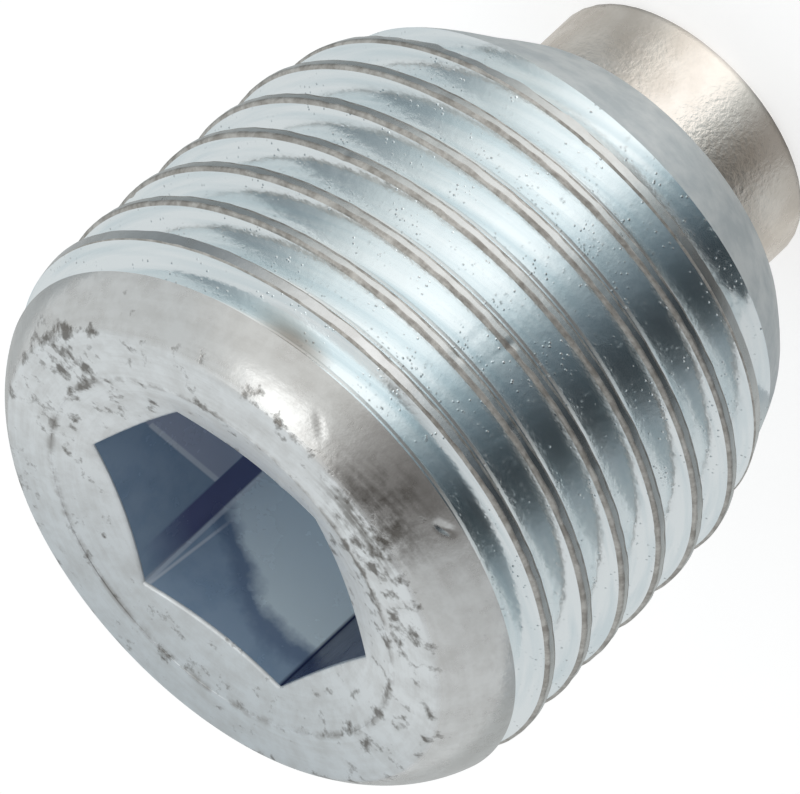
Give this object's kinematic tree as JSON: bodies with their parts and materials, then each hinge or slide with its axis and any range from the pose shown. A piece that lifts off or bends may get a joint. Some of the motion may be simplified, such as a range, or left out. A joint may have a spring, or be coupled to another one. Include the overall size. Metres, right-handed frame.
{
  "type": "magnetic drain plug",
  "caption": "Headless taper-thread drain plug with a hexagon socket in its rounded end and a cylindrical magnet set in its nose to catch metal swarf.",
  "frame": {"origin": "centre of the magnet's flat end, on the plug's axis, where the plug stands on a surface", "axes": "+Z along the plug's axis from the magnet to the socket end; +X through a corner of the hexagon"},
  "size_m": [0.0104, 0.0104, 0.0115],
  "materials": {
    "zinc_plated_steel": "bright blue-white zinc plate, worn and dirty on the face",
    "nickel_plated_magnet": "satin nickel plate over a tumbled sintered magnet"
  },
  "bodies": {
    "root": {"plug_body": "zinc_plated_steel", "magnet": "nickel_plated_magnet"}
  },
  "joints": []
}
